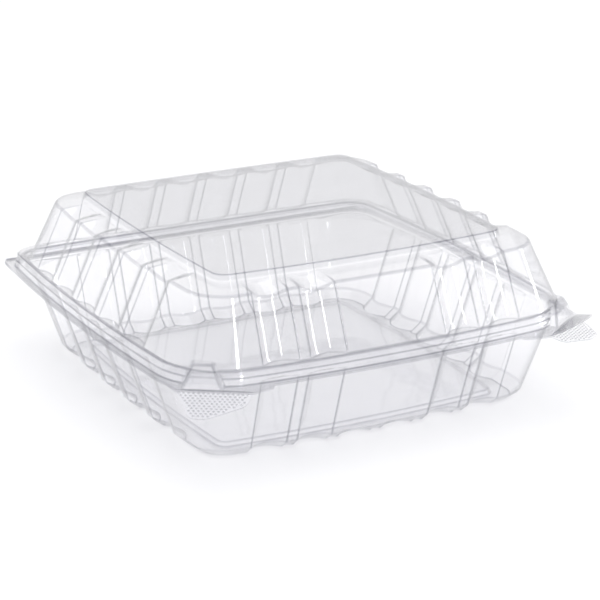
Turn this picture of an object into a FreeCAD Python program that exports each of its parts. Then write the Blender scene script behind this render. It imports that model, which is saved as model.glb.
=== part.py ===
"""Clear hinged clamshell pack for food: a fluted base tray and a fluted domed lid.

Both halves are formed from one thin sheet that folds at the back edge. The front is -Y,
the fold is at +Y, +Z is up, and the origin is under the middle of the whole, tabs included,
at the level of the foot that it stands on.
All lengths are in millimetres.
"""
import FreeCAD, Part
import math
import os

# Sheet and the two halves
sheet = 0.4                 # thickness of the formed sheet
half_width = 105.0          # middle of the pack to the side edge of the flange
half_depth = 106.0          # middle of the pack to the front edge of the flange
back_depth = 106.4          # middle of the pack to the fold line
base_height = 39.5          # foot to the top of the base flange
lid_height = 39.8           # underside of the lid flange to the top panel
sheet_gap = 0.3             # air between the two closed halves

# Bow of the sides in plan, as the radius of each side
side_bow = 1145.0
front_bow = 770.0
back_bow = 3000.0

# Corner radii in plan
rim_front_corner = 33.0
rim_back_corner = 12.0
wall_corner = 31.0          # of the walls where they meet the rim; it shrinks with the inset

# Rim: insets are measured inwards from the flange edge
foot_inset = 2.6            # outer foot of the lid skirt
land_inset = 4.9            # where the lid wall leaves the top of the skirt
step_rise = 3.4             # height of that ledge over the flange
rim_rise = 6.9              # height of the top of the skirt over the flange
skirt_draft = 0.35          # how far each upright of the skirt leans in
ledge = 0.5                 # width of the ledge
bead_width = 2.2            # width of the raised bead of the base at its top
bead_splay = 0.8            # how much wider it is at its foot
bead_clear = 0.4            # sideways clearance of its foot inside the skirt
bead_lean = 0.3             # and how much more there is at its top
flange_back_corner = 4.0

# Lid above the skirt
shoulder_inset = 17.9       # where the wall bends into the plateau
shoulder_rise = 35.0
panel_inset = 30.6          # edge of the raised top panel
plateau_rise = 36.2         # plateau at the foot of the panel
panel_corner = 7.5
panel_draft = 0.8

# Base below the flange
base_wall_inset = 7.0       # top of the base wall
base_bend_inset = 18.8      # where the wall bends into the foot
base_bend_drop = 35.3
base_foot_inset = 24.2      # outer edge of the foot
floor_inset = 33.0          # outer edge of the raised floor
floor_corner = 12.0
floor_raise = 2.6

# Flutes: concave scoops with narrow lands between them
front_flutes = 6
side_flutes = 5
side_flute_room = 10.0      # free length of the sides in front of their flutes
land_width = 5.6
flute_depth = 3.2
flute_end_share = 0.25      # share of that depth where a flute runs out on the plateau
flute_end_gap = 1.6         # flute end to the edge of the top panel
foot_scallop = 4.2          # depth of a flute at the foot
foot_notch = 1.3            # depth of the small notch in the foot below each land
label_flutes = 2            # middle flutes that the flat front panel replaces

# Corner tabs, one at each front corner: the fold line runs from side to front
tab_side_back = 16.0        # side end of the fold line behind the front
tab_side_in = 0.263         # and how far it lies inside the side edge
tab_front_in = 31.5         # front end of the fold line inwards of the side
tab_front_out = 6.108       # and how far it lies beyond the front edge
tab_root_in = 43.0          # where the tab plate joins the front edge, inwards of the side
tab_root = 12.0             # and how far behind the fold it joins the side edge
flap_length = 13.5          # grip flap of the base, from the fold to its tip
flap_tip_start = 7.7        # outline of the flap along the fold, from its side end
flap_tip_end = 15.0
flap_low = 31.0
flap_low_length = 6.2
flap_end_length = 0.5
flap_margin = 0.6
flap_drops = ((-1, 33.0), (1, 19.0))    # degrees that the left and right base flaps hang down
lid_flap_ratio = 0.82       # lid flap length over the base flap length
lid_flap_lift = 21.0        # degrees that the lid flap stands above level

# Latch housing of the lid over each tab, and the nested one of the base
lug_start = 1.5             # foot of the housing along the fold
lug_end = 21.0
lug_slope = 5.0             # how far its ends lean in
lug_set_back = 0.8          # foot of its front face behind the fold
lug_lean = 3.6              # how far that face leans back
lug_rise = 10.4
lug_reach = 26.0            # how far it runs back into the corner
lug_clear = 0.4
base_lug_rise = 5.4
base_lug_reach = 10.5

# Fold at the back
fold_radius = sheet + sheet_gap / 2
fold_half_length = 98.0

# The flutes fill the straight stretches of the top panel's sides
panel_side = half_width - panel_inset - panel_corner
panel_back = back_depth - panel_inset - panel_corner
side_flutes_front = half_depth - panel_inset - panel_corner - side_flute_room
front_pitch = 2 * panel_side / front_flutes
side_pitch = (panel_back + side_flutes_front) / side_flutes
side_flute_shift = (panel_back - side_flutes_front) / 2

# The ends of each tab's fold line follow the bowed edges
tab_side_y = tab_side_back - half_depth
tab_side_x = half_width - tab_side_y ** 2 / (2 * side_bow) - tab_side_in
tab_front_x = half_width - tab_front_in
tab_front_y = tab_front_x ** 2 / (2 * front_bow) - half_depth - tab_front_out
tab_root_x = half_width - tab_root_in

Vec = FreeCAD.Vector
UP = Vec(0, 0, 1)
base_top = base_height
lid_bottom = base_height + sheet_gap
OVER = 1.0                  # how far a cutting tool runs past what it cuts
EDGE = 0.3                  # how far a joined plate stays inside the edge that it meets
JOIN = 0.01                 # overlap of two tools that cut one hollow


def arc_middle(centre, radius, start, end):
    """Point of a circle half way between two of its points, on their side."""
    chord = (start + end) * 0.5 - centre
    chord.normalize()
    return centre + chord * radius


def corner_centre(circle_a, circle_b, radius, towards):
    """Centre of the corner arc that is tangent inside two side arcs."""
    (ca, ra), (cb, rb) = circle_a, circle_b
    ra, rb = ra - radius, rb - radius
    line = cb - ca
    gap = line.Length
    along = (ra * ra - rb * rb + gap * gap) / (2 * gap)
    height = math.sqrt(ra * ra - along * along)
    line.normalize()
    foot = ca + line * along
    side = Vec(-line.y, line.x, 0)
    ends = [foot + side * height, foot - side * height]
    return min(ends, key=lambda point: (point - towards).Length)


def side_circles(inset):
    """Centre and radius of the right, back, left and front side arcs."""
    return [
        (Vec(half_width - side_bow, 0, 0), side_bow - inset),
        (Vec(0, back_depth - back_bow, 0), back_bow - inset),
        (Vec(side_bow - half_width, 0, 0), side_bow - inset),
        (Vec(0, front_bow - half_depth, 0), front_bow - inset),
    ]


def corner_arcs(inset, front_corner, back_corner):
    """Start, middle and end of the four corner arcs, anticlockwise from the right back one."""
    sides = side_circles(inset)
    corners = [(1, 1, back_corner), (-1, 1, back_corner), (-1, -1, front_corner), (1, -1, front_corner)]
    arcs = []
    for index, (sx, sy, radius) in enumerate(corners):
        towards = Vec(sx * half_width, sy * half_depth, 0)
        before, after = sides[index], sides[(index + 1) % 4]
        centre = corner_centre(before, after, radius, towards)
        start = centre + (centre - before[0]).normalize() * radius
        end = centre + (centre - after[0]).normalize() * radius
        arcs.append((start, arc_middle(centre, radius, start, end), end))
    return arcs


def flute_spans(side):
    """Angles on a side arc where each flute starts and ends, and whether the label panel takes it."""
    count, pitch, shift, facing, radius = [
        (side_flutes, side_pitch, side_flute_shift, 0.0, side_bow),
        (front_flutes, front_pitch, 0.0, math.pi / 2, back_bow),
        (side_flutes, side_pitch, -side_flute_shift, math.pi, side_bow),
        (front_flutes, front_pitch, 0.0, -math.pi / 2, front_bow),
    ][side]
    half = (pitch - land_width) / 2
    spans = []
    for index in range(count):
        place = index - (count - 1) / 2
        along = place * pitch + shift
        in_label = side == 3 and abs(place) < label_flutes / 2
        spans.append((facing + (along - half) / radius, facing + (along + half) / radius, in_label))
    return spans


def fitted_corner(inset, wanted):
    """Front and back corner radii at one inset, kept clear of the outermost flutes."""
    far_x, far_y = half_width - inset, half_depth - inset
    front_end = (front_flutes * front_pitch - land_width) / 2
    side_end = (side_flutes * side_pitch - land_width) / 2
    room_x = far_x - far_y ** 2 / (2 * side_bow) - front_end
    room_front = far_y - far_x ** 2 / (2 * front_bow) - side_end + side_flute_shift
    room_back = back_depth - inset - far_x ** 2 / (2 * back_bow) - side_end - side_flute_shift
    return min(wanted, room_x, room_front), min(wanted, room_x, room_back)


def bulge(start, end, outward, depth, drop):
    """Edge between two points that is pushed inwards and moved in height at its middle."""
    if abs(depth) < 0.01 and abs(drop) < 0.01:
        return Part.makeLine(start, end)
    middle = (start + end) * 0.5 - outward * depth + UP * drop
    return Part.Arc(start, middle, end).toShape()


def outline(level):
    """Bowed, round-cornered square at one height, with its flutes, as a closed wire.

    A level is a dictionary: inset, z, front and back corner radii, the flutes' depth and
    change of height at this level, the depth of those in the label panel, and the notch of the lands.
    """
    inset, lift = level["inset"], UP * level["z"]
    sides = side_circles(inset)
    corners = corner_arcs(inset, level["front"], level["back"])
    edges = []
    for side in range(4):
        centre, radius = sides[side]
        stops = [corners[side - 1][2] + lift]
        depths = []
        spans = flute_spans(side)
        for first, last, in_label in spans:
            ends = [centre + Vec(math.cos(a), math.sin(a), 0) * radius + lift for a in (first, last)]
            depths.append((0.0, 0.0))
            stops.append(ends[0])
            if in_label:
                depths.append((level.get("label_depth", 0.0), level.get("label_drop", 0.0)))
            else:
                depths.append((level.get("depth", 0.0), level.get("drop", 0.0)))
            stops.append(ends[1])
        depths.append((0.0, 0.0))
        stops.append(corners[side][0] + lift)
        for index, (start, end, (depth, drop)) in enumerate(zip(stops, stops[1:], depths)):
            outward = ((start + end) * 0.5 - lift - centre).normalize()
            if index % 2 or index in (0, len(depths) - 1) or "notch" not in level:
                edges.append(bulge(start, end, outward, depth, drop))
            else:
                middle = (start + end) * 0.5 - outward * level["notch"]
                edges += [Part.makeLine(start, middle), Part.makeLine(middle, end)]
        edges.append(Part.Arc(*[point + lift for point in corners[side]]).toShape())
    return Part.Wire(edges)


def plain_outline(inset, z, front_corner, back_corner):
    """The same outline without flutes, with one arc a side."""
    lift = UP * z
    corners = corner_arcs(inset, front_corner, back_corner)
    edges = []
    for side, (centre, radius) in enumerate(side_circles(inset)):
        start, end = corners[side - 1][2], corners[side][0]
        middle = arc_middle(centre, radius, start, end)
        edges.append(Part.Arc(start + lift, middle + lift, end + lift).toShape())
        edges.append(Part.Arc(*[point + lift for point in corners[side]]).toShape())
    return Part.Wire(edges)


def fluted_stack(levels):
    """Solid through fluted outlines."""
    return Part.makeLoft([outline(level) for level in levels], True, True)


def stack(levels):
    """Solid through plain outlines given as (inset, z, front corner, back corner)."""
    return Part.makeLoft([plain_outline(*level) for level in levels], True, True)


def moved_profile(points, amounts):
    """Profile of (inset, z) points, each moved inwards by its own amount, with mitred bends."""
    normals = []
    for (i0, z0), (i1, z1) in zip(points, points[1:]):
        length = math.hypot(i1 - i0, z1 - z0)
        normals.append(((z1 - z0) / length, -(i1 - i0) / length))
    moved = []
    for index, (inset, z) in enumerate(points):
        before = normals[max(index - 1, 0)]
        after = normals[min(index, len(normals) - 1)]
        share = amounts[index] / (1 + before[0] * after[0] + before[1] * after[1])
        moved.append((inset + share * (before[0] + after[0]), z + share * (before[1] + after[1])))
    return moved


def slide(points, end, z):
    """The profile with its first (0) or last (-1) point slid along its own stretch to a height."""
    (i0, z0), (i1, z1) = (points[0], points[1]) if end == 0 else (points[-1], points[-2])
    points = list(points)
    points[end] = (i0 + (i1 - i0) * (z - z0) / (z1 - z0), z)
    return points


def offset_levels(levels, amount):
    """The same plain levels moved inwards by one sheet."""
    points = [(inset, z) for inset, z, front, back in levels]
    result = []
    for (inset, z), (old, old_z, front, back) in zip(moved_profile(points, [amount] * len(points)), levels):
        shrink = inset - old
        result.append((inset, z, max(front - shrink, 1.0), max(back - shrink, 1.0)))
    return result


def fluted_levels(points, corners, depths, amount, low, high):
    """Levels of a fluted wall between two heights, its surface moved inwards by an amount.

    Points give the profile of the lands and depths how deep the flutes are at each of them.
    """
    lands = moved_profile(points, [amount] * len(points))
    flutes = moved_profile(points, [amount + depth for depth in depths])
    lands = slide(slide(lands, 0, low), -1, high)
    flutes = slide(slide(flutes, 0, low), -1, high)
    levels = []
    for point, land, flute, corner, depth in zip(points, lands, flutes, corners, depths):
        front, back = fitted_corner(point[0], corner)
        shrink = land[0] - point[0]
        levels.append({
            "inset": land[0], "z": land[1], "front": front - shrink, "back": back - shrink,
            "depth": flute[0] - land[0] if depth else 0.0,
            "drop": flute[1] - land[1] if depth else 0.0,
        })
    return levels


def corner_at(inset):
    """Corner radius of the walls at one inset: all levels share the corners' centres."""
    return wall_corner + land_inset - inset


def lid_dome(amount, low):
    """Lid from the top of its skirt to the panel, moved inwards by an amount."""
    slope = (plateau_rise - shoulder_rise) / (panel_inset - shoulder_inset)
    end_inset = panel_inset - flute_end_gap
    end_rise = shoulder_rise + slope * (end_inset - shoulder_inset)
    points = [
        (land_inset, rim_rise), (shoulder_inset, shoulder_rise), (end_inset, end_rise),
        (panel_inset, plateau_rise), (panel_inset + panel_draft, lid_height),
    ]
    points = [(inset, lid_bottom + rise) for inset, rise in points]
    corners = [corner_at(inset) for inset, rise in points[:3]] + [panel_corner, panel_corner]
    depths = [flute_depth, flute_depth, 0.0, 0.0, 0.0]
    levels = fluted_levels(points, corners, depths, amount, low, points[-1][1] - amount)
    shoulder, end = levels[1:3]
    end["depth"] = shoulder["depth"] * flute_end_share
    end["drop"] = shoulder["drop"] * flute_end_share
    return fluted_stack(levels)


def base_bowl(amount, high):
    """Base from the foot to the flange, moved inwards by an amount."""
    points = [
        (base_foot_inset, 0.0), (base_bend_inset, base_top - base_bend_drop), (base_wall_inset, base_top),
    ]
    corners = [corner_at(inset) for inset, z in points]
    depths = [flute_depth, flute_depth, flute_depth]
    levels = fluted_levels(points, corners, depths, amount, amount, high)
    foot, bend, top = levels
    bend["depth"] = top["depth"]
    bend["drop"] = 0.0
    foot["depth"] = foot_scallop
    foot["label_depth"] = foot_scallop
    foot["notch"] = foot_notch
    bend["notch"] = 0.0
    top["notch"] = 0.0
    return fluted_stack(levels)


def skirt_levels():
    """Outer profile of the lid skirt, with one ledge half way up."""
    bottom = lid_bottom
    front, back = rim_front_corner, rim_back_corner
    return [
        (foot_inset, bottom, front, back),
        (foot_inset + skirt_draft, bottom + step_rise, front, back),
        (foot_inset + skirt_draft + ledge, bottom + step_rise + ledge / 4, front, back),
        (foot_inset + 2 * skirt_draft + ledge, bottom + rim_rise, front, back),
    ]


def extended(levels, down=0.0, up=0.0):
    """Profile with its first or last stretch carried on straight."""
    result = list(levels)
    if down:
        (i0, z0, f0, b0), (i1, z1, f1, b1) = result[0], result[1]
        share = down / (z1 - z0)
        result[0] = (i0 - (i1 - i0) * share, z0 - down, f0 - (f1 - f0) * share, b0 - (b1 - b0) * share)
    if up:
        (i0, z0, f0, b0), (i1, z1, f1, b1) = result[-2], result[-1]
        share = up / (z1 - z0)
        result[-1] = (i1 + (i1 - i0) * share, z1 + up, f1 + (f1 - f0) * share, b1 + (b1 - b0) * share)
    return result


def flange_plate(z, back):
    """Flat flange of one half, with the plates of the two corner tabs."""
    rim = plain_outline(0, z, rim_front_corner - foot_inset, flange_back_corner)
    plate = Part.Face(rim).extrude(UP * sheet)
    tip = half_width - back_depth ** 2 / (2 * side_bow) - EDGE
    plate = plate.fuse(Part.makeBox(2 * tip, back_depth / 2, sheet, Vec(-tip, back_depth / 2, z)))
    beyond = Part.makeBox(4 * half_width, half_depth, sheet + 2 * OVER, Vec(-2 * half_width, back, z - OVER))
    plate = plate.cut(beyond)
    for side in (-1, 1):
        front_y = front_bow - half_depth - math.sqrt(front_bow ** 2 - tab_root_x ** 2) + EDGE
        root_y = tab_side_y + tab_root
        side_x = half_width - root_y ** 2 / (2 * side_bow) - EDGE
        points = [
            Vec(side * tab_side_x, tab_side_y, z), Vec(side * tab_front_x, tab_front_y, z),
            Vec(side * tab_root_x, front_y, z), Vec(side * tab_root_x, root_y, z),
            Vec(side * side_x, root_y, z),
        ]
        plate = plate.fuse(Part.Face(Part.makePolygon(points + points[:1])).extrude(UP * sheet))
    return plate


def tab_frame(side):
    """Side end of a fold line, its direction and its outward direction."""
    start = Vec(side * tab_side_x, tab_side_y, 0)
    along = Vec(side * tab_front_x, tab_front_y, 0) - start
    along.normalize()
    outward = Vec(along.y, -along.x, 0)
    if outward.y > 0:
        outward = outward * -1
    return start, along, outward


def flap(side, z, tilt, ratio):
    """Grip flap of one tab: a lopsided tongue that hangs or stands at a tilt."""
    start, along, outward = tab_frame(side)
    length = math.hypot(tab_side_x - tab_front_x, tab_side_y - tab_front_y)
    lean = outward * math.cos(math.radians(tilt)) + UP * math.sin(math.radians(tilt))
    last = length - flap_margin
    shape = [
        (flap_margin, -sheet / 2), (flap_tip_start, flap_length * ratio), (flap_tip_end, flap_length * ratio),
        (flap_low, flap_low_length * ratio), (last, flap_end_length), (last, -sheet / 2),
    ]
    points = [start + along * s + lean * t + UP * z for s, t in shape]
    normal = along.cross(lean)
    if normal.z < 0:
        normal = normal * -1
    face = Part.Face(Part.makePolygon(points + points[:1]))
    return face.extrude(normal * sheet)


def lug(side, inset, floor, top, reach):
    """Latch housing over a tab, as a block with three leaning faces."""
    start, along, outward = tab_frame(side)
    rise = top - floor
    slope = lug_slope * rise / lug_rise
    lean = lug_lean * rise / lug_rise

    def section(z, ends, face):
        near, far = lug_start + inset + ends, lug_end - inset - ends
        front = -(lug_set_back + inset + face)
        points = [(near, front), (far, front), (far, -reach), (near, -reach)]
        placed = [start + along * s + outward * t + UP * z for s, t in points]
        return Part.makePolygon(placed + placed[:1])
    return Part.makeLoft([section(floor, 0, 0), section(top, slope, lean)], True, True)


def make_lid():
    """Lid: dome with its flutes, skirt, flange, tabs and latch housings."""
    shelf = lid_bottom + rim_rise
    dome = lid_dome(0.0, shelf)
    hollow = lid_dome(sheet, shelf - sheet - JOIN)
    skirt = stack(skirt_levels())
    inside = extended(offset_levels(skirt_levels(), sheet), down=OVER)
    last = inside[-1]
    inside[-1] = (last[0], shelf - sheet, last[2], last[3])
    outer = [dome, skirt, flange_plate(lid_bottom, back_depth - fold_radius - sheet_gap)]
    cavities = [hollow, stack(inside)]
    for side in (-1, 1):
        outer.append(lug(side, 0.0, lid_bottom, lid_bottom + lug_rise, lug_reach))
        outer.append(flap(side, lid_bottom, lid_flap_lift, lid_flap_ratio))
        cavities.append(lug(side, sheet, lid_bottom - OVER, lid_bottom + lug_rise - sheet, lug_reach))
    return outer[0].fuse(outer[1:]).cut(cavities)


def bead_levels(outer):
    """Outer or inner side of the raised bead that the lid skirt fits over."""
    front, back = rim_front_corner, rim_back_corner
    top = base_top + rim_rise - sheet - sheet_gap
    foot = foot_inset + sheet + bead_clear
    peak = foot + 2 * skirt_draft + ledge + bead_lean
    if outer:
        return [(foot, base_top - sheet, front, back), (peak, top, front, back)]
    span = bead_width + bead_splay
    return [
        (foot + span, base_top - sheet, front - span, back - span),
        (peak + bead_width, top, front - span, back - span),
    ]


def make_base():
    """Base: bowl with its flutes and raised floor, bead, flange and tabs."""
    bowl = base_bowl(0.0, base_top - sheet)
    hollow = base_bowl(sheet, base_top + JOIN)
    pad = stack([
        (floor_inset, -OVER, floor_corner, floor_corner),
        (floor_inset, floor_raise, floor_corner, floor_corner),
    ])
    pad_cover = stack([
        (floor_inset - sheet, 0, floor_corner, floor_corner),
        (floor_inset - sheet, floor_raise + sheet, floor_corner, floor_corner),
    ])
    bead = stack(bead_levels(True)).cut(stack(extended(bead_levels(False), down=OVER, up=OVER)))
    groove_outer = extended(offset_levels(bead_levels(True), sheet), down=OVER)
    last = groove_outer[-1]
    groove_outer[-1] = (last[0], bead_levels(True)[-1][1] - sheet, last[2], last[3])
    groove_inner = extended(offset_levels(bead_levels(False), -sheet), down=2 * OVER, up=OVER)
    groove = stack(groove_outer).cut(stack(groove_inner))
    flaps = [flap(side, base_top - sheet, -drop, 1.0) for side, drop in flap_drops]
    inset = sheet + lug_clear
    top = base_top + base_lug_rise
    lugs = [lug(side, inset, base_top - sheet, top, base_lug_reach) for side in (-1, 1)]
    pockets = [
        lug(side, inset + sheet, base_top - sheet - OVER, top - sheet, base_lug_reach - sheet)
        for side in (-1, 1)
    ]
    fold = Part.makeCylinder(
        fold_radius, 2 * fold_half_length,
        Vec(-fold_half_length, back_depth, base_top + sheet_gap / 2), Vec(1, 0, 0))
    outer = [flange_plate(base_top - sheet, back_depth), bead, fold] + flaps + lugs
    return bowl.fuse(outer).cut([hollow.cut(pad_cover), groove, pad] + pockets)


def report(name, shape):
    """One line of facts about a finished sub-part."""
    box = shape.BoundBox
    print(name, "solids", len(shape.Solids), "valid", shape.isValid(), "volume", round(shape.Volume, 1),
          "box", [round(v, 2) for v in (box.XMin, box.YMin, box.ZMin, box.XMax, box.YMax, box.ZMax)])


os.makedirs("parts", exist_ok=True)
halves = {"base_tray": make_base(), "lid_dome": make_lid()}
front_end = min(half.BoundBox.YMin for half in halves.values())
back_end = max(half.BoundBox.YMax for half in halves.values())
print("the fold line lies at y", round(back_depth - (front_end + back_end) / 2, 3))
for part_name, half in halves.items():
    half.translate(Vec(0, -(front_end + back_end) / 2, 0))
    report(part_name, half)
    half.exportStep("parts/" + part_name + ".step")
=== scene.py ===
# %% [markdown]
# A clear hinged clamshell pack, closed and empty. The CAD model gives its size, its fold and its
# joint. This script dresses it: two thin clear shells with rounded creases, gripped tabs, and a
# pale studio that shows clear sheet by its edges and by the lamps in its gloss.

# %% Load the frame
import math

import bmesh
import bpy
import numpy as np
from mathutils import Matrix, Vector


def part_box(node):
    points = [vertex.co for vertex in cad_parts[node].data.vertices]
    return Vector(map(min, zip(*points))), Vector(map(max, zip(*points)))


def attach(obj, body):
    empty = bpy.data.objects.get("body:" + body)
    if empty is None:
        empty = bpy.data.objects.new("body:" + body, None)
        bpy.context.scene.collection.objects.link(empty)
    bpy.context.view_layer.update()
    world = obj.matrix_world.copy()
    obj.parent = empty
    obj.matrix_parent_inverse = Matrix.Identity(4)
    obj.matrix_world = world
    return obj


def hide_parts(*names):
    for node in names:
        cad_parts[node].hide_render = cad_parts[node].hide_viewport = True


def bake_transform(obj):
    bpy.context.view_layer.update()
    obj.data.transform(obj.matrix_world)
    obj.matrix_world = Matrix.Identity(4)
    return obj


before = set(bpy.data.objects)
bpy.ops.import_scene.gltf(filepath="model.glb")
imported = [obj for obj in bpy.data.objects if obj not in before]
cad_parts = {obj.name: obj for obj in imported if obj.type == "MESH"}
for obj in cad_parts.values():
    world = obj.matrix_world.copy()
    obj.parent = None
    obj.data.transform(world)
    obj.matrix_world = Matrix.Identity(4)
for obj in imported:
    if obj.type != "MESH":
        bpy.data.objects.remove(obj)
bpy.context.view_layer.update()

# %% [markdown]
# Both halves follow one plan: a bowed, round-cornered square. The same sizes drove the solid
# model, so the shells made here lie where its walls do. They are in millimetres, and only the
# finished points are turned into metres.

# %% Sizes of the pack, in millimetres
MM = 0.001
SHEET = 0.4
HALF_WIDTH = 105.0
HALF_DEPTH = 106.0
BACK_DEPTH = 106.4
BASE_TOP = 39.5
SHEET_GAP = 0.3
LID_BOTTOM = BASE_TOP + SHEET_GAP
FOLD_RADIUS = SHEET + SHEET_GAP / 2
SIDE_BOW, FRONT_BOW, BACK_BOW = 1145.0, 770.0, 3000.0
RIM_FRONT_CORNER, RIM_BACK_CORNER, WALL_CORNER = 33.0, 12.0, 31.0
FLANGE_FRONT_CORNER, FLANGE_BACK_CORNER = 30.4, 4.0
LAND_INSET, PANEL_INSET, PANEL_CORNER = 4.9, 30.6, 7.5

# The solid model's origin lies under the middle of the whole, so the plan is moved to match it.
MIDDLE_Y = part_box("base_tray")[1][1] / MM - (BACK_DEPTH + FOLD_RADIUS)
print("middle of the plan at y", round(MIDDLE_Y, 3), "mm")

# %% [markdown]
# Flutes are the scoops that make thin sheet stiff. They fill the straight stretches of the top
# panel's sides, so their pitch comes from the panel and not from a typed number.

# %% Flutes
FRONT_FLUTES, SIDE_FLUTES, SIDE_FLUTE_ROOM = 6, 5, 10.0
PANEL_SIDE = HALF_WIDTH - PANEL_INSET - PANEL_CORNER
PANEL_BACK = BACK_DEPTH - PANEL_INSET - PANEL_CORNER
FLUTES_FRONT = HALF_DEPTH - PANEL_INSET - PANEL_CORNER - SIDE_FLUTE_ROOM
FRONT_PITCH = 2 * PANEL_SIDE / FRONT_FLUTES
SIDE_PITCH = (PANEL_BACK + FLUTES_FRONT) / SIDE_FLUTES
SIDE_SHIFT = (PANEL_BACK - FLUTES_FRONT) / 2
print("flute pitch", round(FRONT_PITCH, 2), "in front and", round(SIDE_PITCH, 2), "at the sides")
LAND_WIDTH = 5.6
FLUTE_DEPTH = 3.2
LABEL_FLUTES = 2
COLUMNS = {"end": 8, "flute": 16, "land": 5, "corner": 34}


def side_circle(side, inset):
    """Centre and radius of the right, back, left or front side arc."""
    return [
        (complex(HALF_WIDTH - SIDE_BOW, 0), SIDE_BOW - inset),
        (complex(0, BACK_DEPTH - BACK_BOW), BACK_BOW - inset),
        (complex(SIDE_BOW - HALF_WIDTH, 0), SIDE_BOW - inset),
        (complex(0, FRONT_BOW - HALF_DEPTH), FRONT_BOW - inset),
    ][side]


def flute_stops(side):
    """Angles on a side arc where its flutes start and end."""
    count, pitch, shift, facing, bow = [
        (SIDE_FLUTES, SIDE_PITCH, SIDE_SHIFT, 0.0, SIDE_BOW),
        (FRONT_FLUTES, FRONT_PITCH, 0.0, math.pi / 2, BACK_BOW),
        (SIDE_FLUTES, SIDE_PITCH, -SIDE_SHIFT, math.pi, SIDE_BOW),
        (FRONT_FLUTES, FRONT_PITCH, 0.0, -math.pi / 2, FRONT_BOW),
    ][side]
    half = (pitch - LAND_WIDTH) / 2
    stops = []
    for index in range(count):
        along = (index - (count - 1) / 2) * pitch + shift
        stops += [facing + (along - half) / bow, facing + (along + half) / bow]
    return stops


def corner(index, inset, front, back):
    """Centre, radius and end angles of one corner arc, tangent inside its two sides."""
    sx, sy, radius = [(1, 1, back), (-1, 1, back), (-1, -1, front), (1, -1, front)][index]
    (ca, ra), (cb, rb) = side_circle(index, inset), side_circle((index + 1) % 4, inset)
    ra, rb = ra - radius, rb - radius
    line = cb - ca
    gap = abs(line)
    along = (ra * ra - rb * rb + gap * gap) / (2 * gap)
    height = math.sqrt(ra * ra - along * along)
    foot = ca + line / gap * along
    towards = complex(sx * HALF_WIDTH, sy * HALF_DEPTH)
    ends = [foot + 1j * line / gap * height, foot - 1j * line / gap * height]
    centre = min(ends, key=lambda point: abs(point - towards))
    first, last = np.angle(centre - ca), np.angle(centre - cb)
    if last < first:
        last += 2 * math.pi
    return centre, radius, first, last


# %% [markdown]
# A shell is a grid: its columns run round the plan and its rows follow the section. Each column
# knows where it lies between two stops of its side, and how deep in a flute it is.

# %% Columns round the plan
def spread(count, dense_ends):
    """Shares from 0 up to 1, without 1, packed towards both ends where a crease lies there."""
    even = np.arange(count) / count
    return 0.5 - 0.5 * np.cos(math.pi * even) if dense_ends else even


def column_table():
    """One row a column: side, stretch, share, flute weight, label weight and land weight."""
    table = []
    for side in range(4):
        count = SIDE_FLUTES if side % 2 == 0 else FRONT_FLUTES
        for stretch in range(2 * count + 1):
            is_flute = stretch % 2 == 1
            at_end = stretch in (0, 2 * count)
            kind = "flute" if is_flute else "end" if at_end else "land"
            place = (stretch - 1) / 2 - (count - 1) / 2
            is_label = is_flute and side == 3 and abs(place) < LABEL_FLUTES / 2
            for share in spread(COLUMNS[kind], is_flute):
                bow = 4 * share * (1 - share)
                table.append((side, stretch, share, bow if is_flute and not is_label else 0.0,
                              bow if is_label else 0.0, 0.0 if is_flute or at_end else bow))
        for share in spread(COLUMNS["corner"], False):
            table.append((side, -1, share, 0.0, 0.0, 0.0))
    return np.array(table)


COLUMN = column_table()
print("columns", len(COLUMN))


def ring(inset, front, back):
    """Points and outward directions of one plain outline, one for each column."""
    points = np.zeros(len(COLUMN), complex)
    normals = np.zeros(len(COLUMN), complex)
    corners = [corner(index, inset, front, back) for index in range(4)]
    for side in range(4):
        centre, radius = side_circle(side, inset)
        before, after = corners[side - 1], corners[side]
        start = np.angle(before[0] - centre)
        end = np.angle(after[0] - centre)
        stops = flute_stops(side)
        middle = stops[len(stops) // 2]
        start, end = [a + 2 * math.pi * round((middle - a) / (2 * math.pi)) for a in (start, end)]
        stops = np.array([start] + stops + [end])
        mine = (COLUMN[:, 0] == side) & (COLUMN[:, 1] >= 0)
        stretch = COLUMN[mine, 1].astype(int)
        angle = stops[stretch] + (stops[stretch + 1] - stops[stretch]) * COLUMN[mine, 2]
        normals[mine] = np.exp(1j * angle)
        points[mine] = centre + normals[mine] * radius
        mine = (COLUMN[:, 0] == side) & (COLUMN[:, 1] < 0)
        centre, radius, first, last = corners[side]
        angle = first + (last - first) * COLUMN[mine, 2]
        normals[mine] = np.exp(1j * angle)
        points[mine] = centre + normals[mine] * radius
    return points, normals


def wall_corner(inset):
    """Corner radius of the walls at one inset: all heights share the corners' centres."""
    return WALL_CORNER + LAND_INSET - inset


ROOM_SHARE = 0.95


def fitted_corners(inset, wanted):
    """Front and back corner radii at one inset, kept clear of the outermost flutes."""
    far_x, far_y = HALF_WIDTH - inset, HALF_DEPTH - inset
    front_end = (FRONT_FLUTES * FRONT_PITCH - LAND_WIDTH) / 2
    side_end = (SIDE_FLUTES * SIDE_PITCH - LAND_WIDTH) / 2
    room_x = far_x - far_y ** 2 / (2 * SIDE_BOW) - front_end
    room_front = far_y - far_x ** 2 / (2 * FRONT_BOW) - side_end + SIDE_SHIFT
    room_back = BACK_DEPTH - inset - far_x ** 2 / (2 * BACK_BOW) - side_end - SIDE_SHIFT
    return (min(wanted, ROOM_SHARE * room_x, ROOM_SHARE * room_front),
            min(wanted, ROOM_SHARE * room_x, ROOM_SHARE * room_back))


# %% [markdown]
# The section is a list of bends. Each bend has its place on a land, its place in the middle of a
# flute, its corner radii in plan and the radius that the formed sheet really has there: a sharp
# crease would show no line of light, and the rounded ones are what makes a clear pack visible.

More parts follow.
